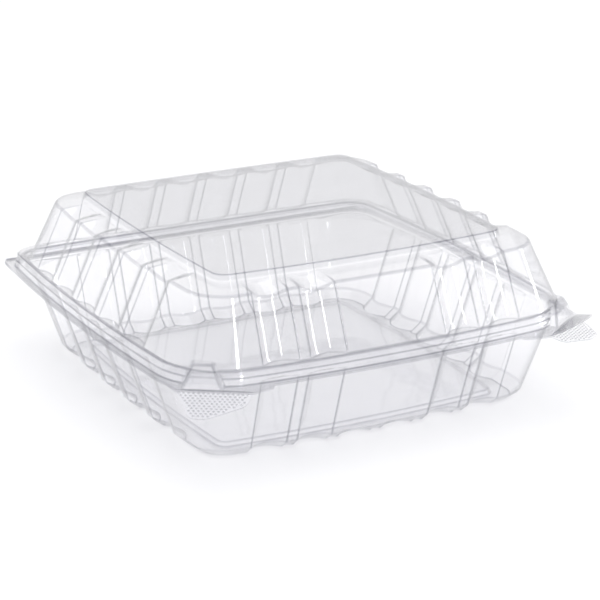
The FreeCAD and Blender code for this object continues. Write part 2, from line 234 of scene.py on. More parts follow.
# %% The section as rounded bends
def offset_profile(points, amounts):
    """Profile of (inset, z) points, each moved inwards by its own amount, with mitred bends."""
    points = np.array(points, float)
    steps = np.diff(points, axis=0)
    steps /= np.linalg.norm(steps, axis=1)[:, None]
    normals = np.stack([steps[:, 1], -steps[:, 0]], axis=1)
    before = np.vstack([normals[:1], normals])
    after = np.vstack([normals, normals[-1:]])
    share = np.array(amounts) / (1 + (before * after).sum(axis=1))
    return points + share[:, None] * (before + after)


def at_height(points, index, other, z):
    """The profile with one point slid along its stretch to another point's line, to a height."""
    points[index] += (points[other] - points[index]) * (z - points[index][1]) / (
        points[other][1] - points[index][1])


BEND_ROOM = 0.42


def curve_point(start, middle, end, t):
    """Point of the smooth curve that leaves one point, bends at a second and ends at a third."""
    return (1 - t) ** 2 * start + 2 * t * (1 - t) * middle + t * t * end


def rounded(keys, radii, straight, bend):
    """Rows through the key vectors, with each inner bend rounded and each straight cut in parts."""
    keys = [np.array(key, float) for key in keys]
    cuts = []
    for index, key in enumerate(keys):
        if index in (0, len(keys) - 1) or not radii[index]:
            cuts.append((key, key))
            continue
        a, b = keys[index - 1] - key, keys[index + 1] - key
        la, lb = np.linalg.norm(a[:2]), np.linalg.norm(b[:2])
        turn = math.acos(max(-1, min(1, -np.dot(a[:2], b[:2]) / (la * lb))))
        reach = min(radii[index] * math.tan(turn / 2), BEND_ROOM * la, BEND_ROOM * lb)
        cuts.append((key + a * reach / la, key + b * reach / lb))
    rows = []
    for index, (start, end) in enumerate(cuts):
        if radii[index] and 0 < index < len(keys) - 1:
            for t in np.linspace(0, 1, bend[index]):
                rows.append(curve_point(start, keys[index], end, t))
        else:
            rows.append(start)
        if index + 1 < len(keys):
            nxt = cuts[index + 1][0]
            for part in range(1, straight[index]):
                rows.append(end + (nxt - end) * part / straight[index])
    return np.array(rows)


# %% [markdown]
# The flange runs out to its own outline: bowed sides, rounded front corners with a straight tab
# line across each, and a straight fold at the back. Each column is carried on outwards until it
# meets that outline.

# %% The outer edge of a flange
TAB_SIDE = (101.2, -90.0)
TAB_FRONT = (73.5, -108.6)
TAB_ROOT_X, TAB_ROOT_Y, TAB_ROOT_IN = 62.0, -80, 4
FLANGE_PARTS = (0.0, 0.34, 0.67)


def rim_outline(back):
    """Outline of a flange, cut straight at the back, and the outlines of its two tabs."""
    rim = ring(0.0, FLANGE_FRONT_CORNER, FLANGE_BACK_CORNER)[0]
    rim = rim.real + 1j * np.minimum(rim.imag, back)
    tabs = []
    for side in (-1, 1):
        tabs.append(np.array([
            complex(side * TAB_SIDE[0], TAB_SIDE[1]), complex(side * TAB_FRONT[0], TAB_FRONT[1]),
            complex(side * TAB_ROOT_X, -HALF_DEPTH), complex(side * TAB_ROOT_X, TAB_ROOT_Y),
            complex(side * (HALF_WIDTH - TAB_ROOT_IN), TAB_ROOT_Y),
        ]))
    return [rim] + tabs


def farthest_hit(point, direction, polygons):
    """How far a ray from a point goes before it leaves the last of some polygons."""
    best = 0.0
    for polygon in polygons:
        start, end = polygon, np.roll(polygon, -1)
        edge = end - start
        cross = direction.real * edge.imag - direction.imag * edge.real
        cross = np.where(np.abs(cross) < 1e-9, 1e-9, cross)
        gap = start - point
        along = (gap.real * edge.imag - gap.imag * edge.real) / cross
        share = (gap.real * direction.imag - gap.imag * direction.real) / cross
        hits = along[(share >= 0) & (share <= 1) & (along > 0)]
        if len(hits):
            best = max(best, hits.max())
    return best


def flange_edge(inset, front, back_corner, back):
    """Outer points of a flange for every column of the ring that it starts from."""
    points, normals = ring(inset, front, back_corner)
    polygons = rim_outline(back)
    reach = np.array([farthest_hit(p, n, polygons) for p, n in zip(points, normals)])
    edge = points + normals * reach
    too_far = edge.imag > back
    edge = edge.real + 1j * np.where(too_far, back, edge.imag)
    for side in (-1, 1):
        for x, y in (TAB_SIDE, TAB_FRONT):
            target = complex(side * x, y)
            edge[np.argmin(np.abs(edge - target))] = target
    return edge


# %% [markdown]
# A shell is the same grid twice, once on each face of the sheet, joined by a strip at the rim.
# A flat cap closes each face in the middle. A Solidify modifier would do for an even sheet, but
# here each face has its own rounded bends, so the inner radius is smaller than the outer one.

# %% Build one shell
SHARP_FROM, FLAP_SHARP_FROM = 55, 40


def place(points, z):
    """Vertices in metres for complex plan points in millimetres and their heights."""
    return [Vector((p.real, p.imag + MIDDLE_Y, h)) * MM for p, h in zip(points, z)]


def ring_of(mesh, points, z):
    """New vertices of a mesh for plan points and their heights."""
    return [mesh.verts.new(co) for co in place(points, z)]


def face_rows(mesh, section, edge):
    """Rings of vertices of one face of a shell, from the rim to the middle."""
    flute, label, land = COLUMN[:, 3], COLUMN[:, 4], COLUMN[:, 5]
    rings = []
    for index, row in enumerate(section):
        inset, z, front, back, flute_in, flute_z, label_in, land_in = row
        points, normals = ring(inset, front, back)
        shift = flute * (flute_in - inset) + label * label_in + land * land_in
        points = points - normals * shift
        heights = z + flute * (flute_z - z)
        if index == 0:
            for part in FLANGE_PARTS:
                rings.append(ring_of(mesh, edge + (points - edge) * part, heights))
        rings.append(ring_of(mesh, points, heights))
    return rings


def bridge(mesh, lower, upper):
    """Quads between two rings."""
    for index in range(len(lower)):
        after = (index + 1) % len(lower)
        mesh.faces.new([lower[index], lower[after], upper[after], upper[index]])


def make_shell(name, outer, inner, edge):
    """A closed thin shell between two faces that share their columns."""
    mesh = bmesh.new()
    faces = [face_rows(mesh, section, edge) for section in (outer, inner)]
    for rings in faces:
        for lower, upper in zip(rings, rings[1:]):
            bridge(mesh, lower, upper)
        mesh.faces.new(rings[-1])
    bridge(mesh, faces[0][0], faces[1][0])
    return finished(name, mesh)


def linked(name, data):
    """A new object of the scene that holds some data."""
    piece = bpy.data.objects.new(name, data)
    bpy.context.scene.collection.objects.link(piece)
    return piece


def finished(name, mesh):
    """A mesh object from a closed bmesh, smooth but for its sharp edges."""
    bmesh.ops.recalc_face_normals(mesh, faces=mesh.faces)
    data = bpy.data.meshes.new(name)
    mesh.to_mesh(data)
    mesh.free()
    data.shade_smooth()
    data.set_sharp_from_angle(angle=math.radians(SHARP_FROM))
    print(name, "faces", len(data.polygons))
    return linked(name, data)


# %% [markdown]
# The lid: flange, skirt with its one ledge, the narrow shelf, the fluted wall, the shoulder and
# the raised panel. Flutes start on the shelf and run out on the plateau just short of the panel.

# %% Section of the lid
LID_FLANGE_INSET, FOOT_INSET, RIM_RISE = 1.2, 2.6, 6.9
STEP_RISE, SKIRT_DRAFT, LEDGE = 3.4, 0.35, 0.5
SHOULDER_INSET, SHOULDER_RISE = 17.9, 35.0
PLATEAU_RISE, PANEL_DRAFT, LID_HEIGHT = 36.2, 0.8, 39.8
FLUTE_END_SHARE, FLUTE_END_GAP = 0.25, 1.6
CAP_INSET = 3


def lid_section(amount):
    """Rows of the lid's outer face, moved inwards by an amount of sheet."""
    top_inset = FOOT_INSET + 2 * SKIRT_DRAFT + LEDGE
    step_in = FOOT_INSET + SKIRT_DRAFT
    end_inset = PANEL_INSET - FLUTE_END_GAP
    slope = (PLATEAU_RISE - SHOULDER_RISE) / (PANEL_INSET - SHOULDER_INSET)
    skirt = [
        (LID_FLANGE_INSET, SHEET), (FOOT_INSET, SHEET), (step_in, STEP_RISE),
        (step_in + LEDGE, STEP_RISE + LEDGE / 4), (top_inset, RIM_RISE), (LAND_INSET, RIM_RISE),
    ]
    wall = [
        (LAND_INSET, RIM_RISE), (SHOULDER_INSET, SHOULDER_RISE),
        (end_inset, SHOULDER_RISE + slope * (end_inset - SHOULDER_INSET)),
        (PANEL_INSET, PLATEAU_RISE), (PANEL_INSET + PANEL_DRAFT, LID_HEIGHT),
        (PANEL_INSET + PANEL_DRAFT + CAP_INSET, LID_HEIGHT),
    ]
    depths = [FLUTE_DEPTH, FLUTE_DEPTH, 0, 0, 0, 0]
    lands = offset_profile(skirt[:-1] + wall, [amount] * (len(skirt) + len(wall) - 1))
    flutes = offset_profile(wall, [amount + depth for depth in depths])
    at_height(flutes, 0, 1, RIM_RISE - amount)
    wall_lands = lands[len(skirt) - 1:]
    flutes[2] = wall_lands[2] + FLUTE_END_SHARE * (flutes[1] - wall_lands[1])
    flutes = np.vstack([lands[:len(skirt) - 1], flutes])
    corners = [(RIM_FRONT_CORNER, RIM_BACK_CORNER)] * (len(skirt) - 1)
    wanted = [wall_corner(inset) for inset, z in wall[:3]] + [PANEL_CORNER] * 3
    corners += [fitted_corners(inset, want) for (inset, z), want in zip(wall, wanted)]
    keys = []
    for land, flute, (front, back) in zip(lands, flutes, corners):
        shrink = 0.0 if land[0] < LAND_INSET else amount
        keys.append([land[0], LID_BOTTOM + land[1], front - shrink, back - shrink,
                     flute[0], LID_BOTTOM + flute[1], 0, 0])
    radii = [0, 0.9, 0.35, 0.35, 1.0, 0.9, 2.2, 0.8, 0.8, 0.7, 0]
    straight = [1, 1, 1, 1, 1, 10, 4, 1, 1, 1, 1]
    bend = [0, 4, 2, 2, 4, 4, 7, 3, 4, 4, 0]
    return rounded(keys, radii, straight, bend)


lid_edge = flange_edge(LID_FLANGE_INSET, RIM_FRONT_CORNER, RIM_BACK_CORNER,
                       BACK_DEPTH - FOLD_RADIUS - SHEET_GAP)
lid_shell = make_shell("lid_shell", lid_section(0.0), lid_section(SHEET), lid_edge)

# %% [markdown]
# The tray: flange, the raised bead that the lid's skirt fits over, the fluted wall, the bend near
# the bottom, the scalloped foot and the raised floor. Two middle flutes in front give way to a
# flat panel, but their scallops stay in the foot.

# %% Section of the tray
TRAY_FLANGE_INSET = 1.4
BEAD_WIDTH, BEAD_CLEAR, BEAD_LEAN = 2.2, 0.4, 0.3
BEAD_END_OUT, BEAD_END_RISE, WALL_TOP_DROP = 0.35, 0.5, 0.4
WALL_INSET, BEND_INSET, BEND_DROP, BASE_FOOT_INSET = 7.0, 18.8, 35.3, 24.2
FLOOR_INSET, FLOOR_CORNER, FLOOR_RAISE, FLOOR_DRAFT = 33.0, 12.0, 2.6, 0.3
FOOT_SCALLOP, FOOT_NOTCH = 4.2, 1.3


def tray_section(amount):
    """Rows of the tray's outer face, from the flange to the floor, moved inwards by an amount."""
    foot = FOOT_INSET + SHEET + BEAD_CLEAR
    peak = foot + 2 * SKIRT_DRAFT + LEDGE + BEAD_LEAN
    top = BASE_TOP + RIM_RISE - SHEET_GAP - SHEET
    low = BASE_TOP - SHEET
    rim = [
        (TRAY_FLANGE_INSET, low), (foot + SHEET, low), (peak + SHEET, top - SHEET),
        (peak + BEAD_WIDTH - SHEET, top - SHEET), (WALL_INSET - BEAD_END_OUT, low + BEAD_END_RISE),
    ]
    wall = [
        (WALL_INSET, low - WALL_TOP_DROP), (BEND_INSET, BASE_TOP - BEND_DROP),
        (BASE_FOOT_INSET, 0.0), (FLOOR_INSET, 0.0), (FLOOR_INSET + FLOOR_DRAFT, FLOOR_RAISE),
        (FLOOR_INSET + CAP_INSET, FLOOR_RAISE),
    ]
    both = rim + wall
    lands = offset_profile(both, [-amount] * len(both))
    wall_depth = FLUTE_DEPTH * math.hypot(BEND_INSET - WALL_INSET, BEND_DROP) / BEND_DROP
    flutes = lands.copy()
    flutes[len(rim):len(rim) + 3, 0] += [wall_depth, wall_depth, FOOT_SCALLOP]
    corners = [(RIM_FRONT_CORNER, RIM_BACK_CORNER)] * 3
    corners += [(RIM_FRONT_CORNER - 3, RIM_BACK_CORNER - 1)] * 2
    wanted = [wall_corner(inset) for inset, z in wall[:3]] + [FLOOR_CORNER] * 3
    corners += [fitted_corners(inset, want) for (inset, z), want in zip(wall, wanted)]
    keys = []
    for index, (land, flute, (front, back)) in enumerate(zip(lands, flutes, corners)):
        is_foot = index == len(rim) + 2
        keys.append([land[0], land[1], front - amount, back - amount, flute[0], flute[1],
                     FOOT_SCALLOP if is_foot else 0.0, FOOT_NOTCH if is_foot else 0.0])
    radii = [0, 0.9, 1.0, 1.0, 0.4, 0.8, 3.0, 1.6, 1.0, 1.0, 0]
    straight = [1, 1, 2, 1, 1, 12, 2, 1, 1, 1, 1]
    bend = [0, 4, 5, 5, 2, 4, 6, 5, 4, 4, 0]
    return rounded(keys, radii, straight, bend)


tray_edge = flange_edge(TRAY_FLANGE_INSET, RIM_FRONT_CORNER, RIM_BACK_CORNER, BACK_DEPTH)
tray_shell = make_shell("tray_shell", tray_section(0.0), tray_section(SHEET), tray_edge)

# %% [markdown]
# At each front corner a tab runs straight across. Its fold line has a side end and a front end, and
# everything on the tab is placed by three numbers: how far along the fold, how far out, how high.

# %% The frame of a tab
def tab_axes(side):
    """Side end of a tab's fold line, its direction and its outward direction, in metres."""
    start = Vector((side * TAB_SIDE[0], TAB_SIDE[1] + MIDDLE_Y, 0)) * MM
    end = Vector((side * TAB_FRONT[0], TAB_FRONT[1] + MIDDLE_Y, 0)) * MM
    along = (end - start).normalized()
    outward = Vector((along.y, -along.x, 0))
    if outward.y > 0:
        outward.negate()
    return start, along, outward


def tab_point(side, along_fold, out, z):
    """A point of a tab in metres, from millimetres along its fold, outwards and up."""
    start, along, outward = tab_axes(side)
    return start + (along * along_fold + outward * out + Vector((0, 0, z))) * MM


# %% [markdown]
# Over each tab the skirt swells into a latch housing, and the tray has a lower one that nests in
# it. On the real pack each is drawn from the same sheet as the wall behind it. So a block with
# leaning, rounded faces is joined to the shell and then hollowed, and on the lid it is trimmed to
# the outside of the wall first. Boolean modifiers do what the forming tool did.

# %% Latch housings
LUG_START, LUG_END, LUG_SLOPE, LUG_SET_BACK, LUG_LEAN = 1.5, 21.0, 5.0, 0.8, 3.6
LUG_RISE, LUG_REACH, LUG_CLEAR = 10.4, 26.0, 0.4
TRAY_LUG_RISE, TRAY_LUG_REACH = 5.4, 10.5
LUG_ROUNDS, TRAY_LUG_ROUNDS = (1.3, 0.9), (1.0, 0.7)
LUG_OVERLAP, HOLLOW_DROP, PLUG_DROP = 0.1, 1, 5.0


def make_block(name, side, inset, floor, top, reach, radius):
    """Block over a tab with three leaning faces and rounded edges."""
    share = (top - floor) / LUG_RISE
    mesh = bmesh.new()
    corners = []
    for z, ends, face in ((floor, 0.0, 0.0), (top, LUG_SLOPE * share, LUG_LEAN * share)):
        near, far = LUG_START + inset + ends, LUG_END - inset - ends
        front = -(LUG_SET_BACK + inset + face)
        for s, t in ((near, front), (far, front), (far, -reach), (near, -reach)):
            corners.append(mesh.verts.new(tab_point(side, s, t, z)))
    mesh.faces.new(corners[:4])
    mesh.faces.new(corners[4:])
    for index in range(4):
        after = (index + 1) % 4
        mesh.faces.new([corners[index], corners[after], corners[4 + after], corners[4 + index]])
    bmesh.ops.recalc_face_normals(mesh, faces=mesh.faces)
    kept = set(corners[:4])
    edges = [edge for edge in mesh.edges if not set(edge.verts) <= kept]
    bmesh.ops.bevel(mesh, geom=edges, offset=radius * MM, segments=4, profile=0.5,
                    affect="EDGES")
    return finished(name, mesh)


def carve(piece, tool, operation):
    """Apply one Boolean with a tool that is used up."""
    modifier = piece.modifiers.new("carve", "BOOLEAN")
    modifier.operation, modifier.solver, modifier.object = operation, "MANIFOLD", tool
    evaluated = piece.evaluated_get(bpy.context.evaluated_depsgraph_get())
    result = bpy.data.meshes.new_from_object(evaluated)
    piece.modifiers.remove(modifier)
    spent = [piece.data, tool.data]
    piece.data = result
    bpy.data.objects.remove(tool)
    for data in spent:
        bpy.data.meshes.remove(data)
    print(piece.name, operation, len(result.polygons), "faces")


def make_plug(section):
    """Solid that fills a shell from below, up to the rows of a section."""
    mesh = bmesh.new()
    rings = []
    points, normals = ring(section[1][0], section[1][2], section[1][3])
    rings.append(ring_of(mesh, points, np.full(len(points), section[0][1] - PLUG_DROP)))
    for inset, z, front, back, flute_in, flute_z, label_in, land_in in section[1:]:
        points, normals = ring(inset, front, back)
        flute = COLUMN[:, 3]
        points = points - normals * flute * (flute_in - inset)
        rings.append(ring_of(mesh, points, z + flute * (flute_z - z)))
    for lower, upper in zip(rings, rings[1:]):
        bridge(mesh, lower, upper)
    mesh.faces.new(rings[0])
    mesh.faces.new(rings[-1])
    return finished("plug", mesh)


def draw_housing(shell, side, inset, low, top, reaches, rounds, plug=None):
    """Draw one latch housing out of a shell, trimmed by a plug where there is one."""
    block = make_block("block", side, inset, low + LUG_OVERLAP, top, reaches[0], rounds[0])
    if plug:
        carve(block, plug, "DIFFERENCE")
    carve(shell, block, "UNION")
    hollow = make_block("hollow", side, inset + SHEET, low - HOLLOW_DROP, top - SHEET,
                        reaches[1], rounds[1])
    carve(shell, hollow, "DIFFERENCE")


for side in (-1, 1):
    draw_housing(lid_shell, side, 0.0, LID_BOTTOM, LID_BOTTOM + LUG_RISE, (LUG_REACH, LUG_REACH),
                 LUG_ROUNDS, make_plug(lid_section(SHEET / 2)[4:]))
    draw_housing(tray_shell, side, SHEET + LUG_CLEAR, BASE_TOP - SHEET, BASE_TOP + TRAY_LUG_RISE,
                 (TRAY_LUG_REACH, TRAY_LUG_REACH - SHEET), TRAY_LUG_ROUNDS)

# %% [markdown]
# The flaps that fingers pull are tongues of the same sheet: those of the tray hang down, those of
# the lid stand up a little. Each is a lopsided plate with rounded corners, built in its own flat
# frame and then turned about the fold.

# %% Grip flaps
FLAP_LENGTH, LID_FLAP_RATIO, LID_FLAP_LIFT = 13.5, 0.82, 21.0
FLAP_DROPS = {-1: 33.0, 1: 19.0}
FLAP_OUTLINE = [(0.6, 0.0), (7.7, 1.0), (15.0, 1.0), (31.0, 0.46), (32.6, 0.04), (32.77, 0.0)]
FLAP_ROUND, FLAP_ROUND_ROOM, FLAP_ROUND_STEPS = 2.6, 0.45, 6


def flap_shape(ratio, margin):
    """Outline of a flap in its own plane, with rounded corners, pulled in by a margin."""
    raw = [Vector((s, t * FLAP_LENGTH * ratio)) for s, t in FLAP_OUTLINE]
    middle = sum(raw, Vector((0, 0))) / len(raw)
    shape = []
    for index, point in enumerate(raw):
        before, after = raw[index - 1] - point, raw[(index + 1) % len(raw)] - point
        if 0 < index < 4:
            cut = min(FLAP_ROUND, FLAP_ROUND_ROOM * before.length, FLAP_ROUND_ROOM * after.length)
            start, end = point + before.normalized() * cut, point + after.normalized() * cut
            for step in range(FLAP_ROUND_STEPS + 1):
                shape.append(curve_point(start, point, end, step / FLAP_ROUND_STEPS))
        else:
            shape.append(point)
    return [p + (middle - p).normalized() * margin for p in shape]


def flap_matrix(side, z, tilt):
    """Matrix from a flap's flat frame, in millimetres, to its place on the pack, in metres."""
    start, along, outward = tab_axes(side)
    lean = outward * math.cos(math.radians(tilt)) + Vector((0, 0, math.sin(math.radians(tilt))))
    normal = along.cross(lean)
    if normal.z < 0:
        normal.negate()
    axes = Matrix((along, lean, normal)).transposed().to_4x4()
    return Matrix.Translation(start + Vector((0, 0, z)) * MM) @ axes @ Matrix.Scale(MM, 4)


def add_flap(shell, side, z, tilt, ratio):
    """Add one flap plate to a shell's mesh."""
    mesh = bmesh.new()
    mesh.from_mesh(shell.data)
    matrix = flap_matrix(side, z, tilt)
    shape = flap_shape(ratio, 0.0)
    layers = [[mesh.verts.new(matrix @ Vector((p.x, p.y, height))) for p in shape]
              for height in (0.0, SHEET)]
    count = len(shape)
    sides = [[layers[0][i], layers[0][(i + 1) % count], layers[1][(i + 1) % count], layers[1][i]]
             for i in range(count)]
    faces = [mesh.faces.new(corners) for corners in [layers[0], layers[1]] + sides]
    for face in faces:
        face.smooth = True
    bmesh.ops.recalc_face_normals(mesh, faces=faces)
    mesh.to_mesh(shell.data)
    mesh.free()


for side in (-1, 1):
    add_flap(lid_shell, side, LID_BOTTOM, LID_FLAP_LIFT, LID_FLAP_RATIO)
    add_flap(tray_shell, side, BASE_TOP - SHEET, -FLAP_DROPS[side], 1.0)
for shell in (lid_shell, tray_shell):
    shell.data.set_sharp_from_angle(angle=math.radians(FLAP_SHARP_FROM))
    triangles = sum(len(face.vertices) - 2 for face in shell.data.polygons)
    print(shell.name, "has", triangles, "triangles")

# %% [markdown]
# Light that enters a tight bend is turned aside inside the sheet, so on the real pack each crease
# and cut edge is a thin grey line, while broad curves stay clear. The film shader used here doesn't
# bend light, so each corner of a face is told how tight the bend beside it is, and the material
# darkens there. The measure is the angle between two faces over the distance that it spreads over.

# %% Mark the tight bends
BEND_FROM, BEND_TO, NARROW = 0.15, 1.0, 1.3
SHORTEST_EDGE, WIDEST_FACE, NARROWEST_BEND = 0.02, 1.0, 0.12
RIM_SHARE, FLOOR_SHARE, PANEL_FOOT_SHARE = 0.5, 0.5, 0.1
RIM_LOW, RIM_HIGH, RIM_BACK = BASE_TOP - 1, LID_BOTTOM + RIM_RISE + 0.6, BACK_DEPTH - 14
PANEL_FOOT_LIFT, PANEL_FOOT_BAND = 0.3, 1.0
PANEL_FOOT_X, PANEL_FOOT_Y = HALF_WIDTH - PANEL_INSET + 1.2, BACK_DEPTH - PANEL_INSET + 3.5
FLOOR_HIGH, FLOOR_REACH = FLOOR_RAISE + 0.5, HALF_WIDTH - FLOOR_INSET + 4


def bend_strength(spot):
    """Painted crease shade, less where the mould rounds more: front rim, floor and panel foot."""
    x, y, z = spot.x / MM, spot.y / MM, spot.z / MM
    if RIM_LOW < z < RIM_HIGH:
        return 1.0 if y > RIM_BACK else RIM_SHARE
    above_foot = abs(z - LID_BOTTOM - PLATEAU_RISE - PANEL_FOOT_LIFT)
    if above_foot < PANEL_FOOT_BAND and abs(x) < PANEL_FOOT_X and abs(y) < PANEL_FOOT_Y:
        return PANEL_FOOT_SHARE
    if z < FLOOR_HIGH and max(abs(x), abs(y)) < FLOOR_REACH:
        return FLOOR_SHARE
    return 1.0


def mark_bends(piece):
    """Store on each face corner how tight the bend is, from 0 for broad to 1 for a crease."""
    mesh = bmesh.new()
    mesh.from_mesh(piece.data)
    areas = [face.calc_area() / MM ** 2 for face in mesh.faces]
    lengths = [max(edge.calc_length() / MM, SHORTEST_EDGE) for edge in mesh.edges]
    tight = np.zeros(len(mesh.edges))
    for edge in mesh.edges:
        if len(edge.link_faces) == 2:
            width = sum(min(areas[face.index] / lengths[edge.index], WIDEST_FACE)
                        for face in edge.link_faces) / 2
            tight[edge.index] = abs(edge.calc_face_angle(0.0)) / max(width, NARROWEST_BEND)
    share = np.clip((tight - BEND_FROM) / (BEND_TO - BEND_FROM), 0, 1)
    values = []
    for face in mesh.faces:
        for loop in face.loops:
            meeting = [loop.edge.index, loop.link_loop_prev.edge.index]
            value = max(share[edge] if areas[face.index] / lengths[edge] < NARROW else 0.0
                        for edge in meeting)
            values.append(value * bend_strength(loop.vert.co))
    mesh.free()
    attribute = piece.data.attributes.new("tight_bend", "FLOAT", "CORNER")
    attribute.data.foreach_set("value", np.array(values, np.float32))
    print(piece.name, "tight at", int((share > 0.5).sum()), "of", len(share), "edges")


mark_bends(lid_shell)
mark_bends(tray_shell)

# %% [markdown]
# Clear sheet shows by three things: a faint cool tint, a mirror-like gloss that grows at a
# glancing angle, and slight waves from the forming. Where the eye looks along the sheet the tint
# deepens a little over the longer path, and much more by painted shade that stands in for the light
# that a real sheet turns aside there. A thin film of Transparent and Glossy shaders does this
# without bending rays, so twenty layers behind each other stay clean. The share of gloss comes from
# Layer Weight's Facing, which is the same from both sides of the sheet, raised to the fifth power,
# the usual short form for gloss at a glance. The top panel is greyed by painted shade, by a mask by
# height.

# %% Clear sheet
def new_node(tree, kind, **sockets):
    """A node with some of its input sockets set."""
    node = tree.nodes.new(kind)
    for name, value in sockets.items():
        node.inputs[name.replace("_", " ")].default_value = value
    return node


def wire(tree, *pairs):
    """Links, each from an output socket to an input socket."""
    for source, target in pairs:
        tree.links.new(source, target)


def wave_group():
    """Node group: slow waves that a formed sheet keeps, as a normal."""
    group = bpy.data.node_groups.new("forming_waves", "ShaderNodeTree")
    for name, default in (("Size", 60.0), ("Strength", 0.1)):
        socket = group.interface.new_socket(name, in_out="INPUT", socket_type="NodeSocketFloat")
        socket.default_value = default
    group.interface.new_socket("Normal", in_out="OUTPUT", socket_type="NodeSocketVector")
    inputs = new_node(group, "NodeGroupInput")
    outputs = new_node(group, "NodeGroupOutput")
    place_node = new_node(group, "ShaderNodeTexCoord")
    noise = new_node(group, "ShaderNodeTexNoise", Detail=2.0, Roughness=0.45)
    bump = new_node(group, "ShaderNodeBump", Distance=0.002)
    wire(group,
         (place_node.outputs["Object"], noise.inputs["Vector"]),
         (inputs.outputs["Size"], noise.inputs["Scale"]),
         (inputs.outputs["Strength"], bump.inputs["Strength"]),
         (noise.outputs["Fac"], bump.inputs["Height"]),
         (bump.outputs["Normal"], outputs.inputs["Normal"]))
    return group


waves = wave_group()


def maths(tree, operation, first, second):
    """A Math node fed by sockets or numbers."""
    node = new_node(tree, "ShaderNodeMath")
    node.operation = operation
    for index, value in enumerate((first, second)):
        if isinstance(value, (int, float)):
            node.inputs[index].default_value = value
        else:
            tree.links.new(value, node.inputs[index])
    return node.outputs[0]


def colour_mix(tree, blend, share, first, second):
    """Mix of a colour or a colour socket with a second colour, by a share that varies."""
    node = new_node(tree, "ShaderNodeMix")
    node.data_type, node.blend_type = "RGBA", blend
    node.inputs[7].default_value = (*second, 1)
    tree.links.new(share, node.inputs[0])
    if isinstance(first, tuple):
        node.inputs[6].default_value = (*first, 1)
    else:
        tree.links.new(first, node.inputs[6])
    return node.outputs[2]


# The second power sets how fast the painted edge shade grows as the eye looks along the sheet.
GLOSS_POWER, EDGE_SHADE_POWER, GLOSS_ROUGHNESS, WAVE_SIZE = 5.0, 7.0, 0.06, 55.0
# Heights over which the top panel's painted shade comes in.
PANEL_SHADE_FROM, PANEL_SHADE_TO = LID_BOTTOM + PLATEAU_RISE + 0.4, LID_BOTTOM + PLATEAU_RISE + 1.4


def clear_sheet(name, face_tint_and_shade, edge_shade, crease_shade, panel_shade, gloss_at_face, wave_strength):
    """Material of one clear sheet, with painted shade edge-on, in tight bends and on the panel."""
    material = bpy.data.materials.new(name)
    material.use_nodes = True
    tree = material.node_tree
    tree.nodes.clear()
    out = new_node(tree, "ShaderNodeOutputMaterial")
    mix = new_node(tree, "ShaderNodeMixShader")
    clear = new_node(tree, "ShaderNodeBsdfTransparent")
    gloss = new_node(tree, "ShaderNodeBsdfGlossy", Color=(1, 1, 1, 1),
                        Roughness=GLOSS_ROUGHNESS)
    bumps = new_node(tree, "ShaderNodeGroup")
    bumps.node_tree = waves
    bumps.inputs["Size"].default_value = WAVE_SIZE
    bumps.inputs["Strength"].default_value = wave_strength
    facing = new_node(tree, "ShaderNodeLayerWeight", Blend=0.5).outputs["Facing"]
    share = new_node(tree, "ShaderNodeMapRange", To_Min=gloss_at_face, To_Max=1.0)
    coords = new_node(tree, "ShaderNodeTexCoord")
    split = new_node(tree, "ShaderNodeSeparateXYZ")
    panel_shade_mask = new_node(tree, "ShaderNodeMapRange", From_Min=PANEL_SHADE_FROM * MM,
                        From_Max=PANEL_SHADE_TO * MM)
    bend = new_node(tree, "ShaderNodeAttribute")
    bend.attribute_name = "tight_bend"
    # Painted shade: the sheet's tint turns towards a dark grey where the eye looks along it.
    depth = maths(tree, "POWER", facing, EDGE_SHADE_POWER)
    tint_and_edge_shade = colour_mix(tree, "MIX", depth, face_tint_and_shade, edge_shade)
    # Painted shade: a mask by height greys the top panel.
    panel_shaded = colour_mix(tree, "MULTIPLY", panel_shade_mask.outputs[0], tint_and_edge_shade, panel_shade)
    # Painted shade: tight bends turn grey, standing in for light that the sheet turns aside there.
    crease_shaded = colour_mix(tree, "MIX", bend.outputs["Fac"], panel_shaded, crease_shade)
    wire(tree,
         (maths(tree, "POWER", facing, GLOSS_POWER), share.inputs["Value"]),
         (share.outputs[0], mix.inputs["Fac"]),
         (coords.outputs["Object"], split.inputs[0]),
         (split.outputs["Z"], panel_shade_mask.inputs["Value"]),
         (crease_shaded, clear.inputs["Color"]),
         (bumps.outputs["Normal"], gloss.inputs["Normal"]),
         (clear.outputs[0], mix.inputs[1]),
         (gloss.outputs[0], mix.inputs[2]),
         (mix.outputs[0], out.inputs["Surface"]))
    return material


# Grey of the painted shade on sheet seen edge-on.
PAINTED_EDGE_SHADE = (0.31, 0.31, 0.34)
# The last three colours are painted shade: for sheet seen edge-on, in tight bends, on the top
# panel.
sheet_material = clear_sheet("clear_sheet", (0.987, 0.987, 0.991), PAINTED_EDGE_SHADE, (0.7, 0.7, 0.725),
                             (0.915, 0.915, 0.92), 0.045, 0.12)
for shell, node, body in ((lid_shell, "lid_dome", "lid"), (tray_shell, "base_tray", "base")):
    shell.data.materials.clear()
    shell.data.materials.append(sheet_material)
    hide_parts(node)
    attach(shell, body)

# %% [markdown]
# Fingers need a hold on slippery sheet, so the flaps carry a field of small diamonds. They repeat
# by a rule, which is work for Geometry Nodes: a staggered grid of points, a ray from each down to
# the flap to drop those that miss it, and a flat pyramid on each one that is left. A second tree
# sets a row of slanting ridges on the right latch housing.

# %% Diamonds on the flaps
FIELD_MARGIN, DIAMONDS = 1.3, {"Pitch": 2.0, "Rise": 0.3}
RIDGE_SLANT, RIDGE_PLACE, RIDGES = 38, (5.6, 8.4, -0.05), {"Count": 8.0, "Pitch": 1.35}


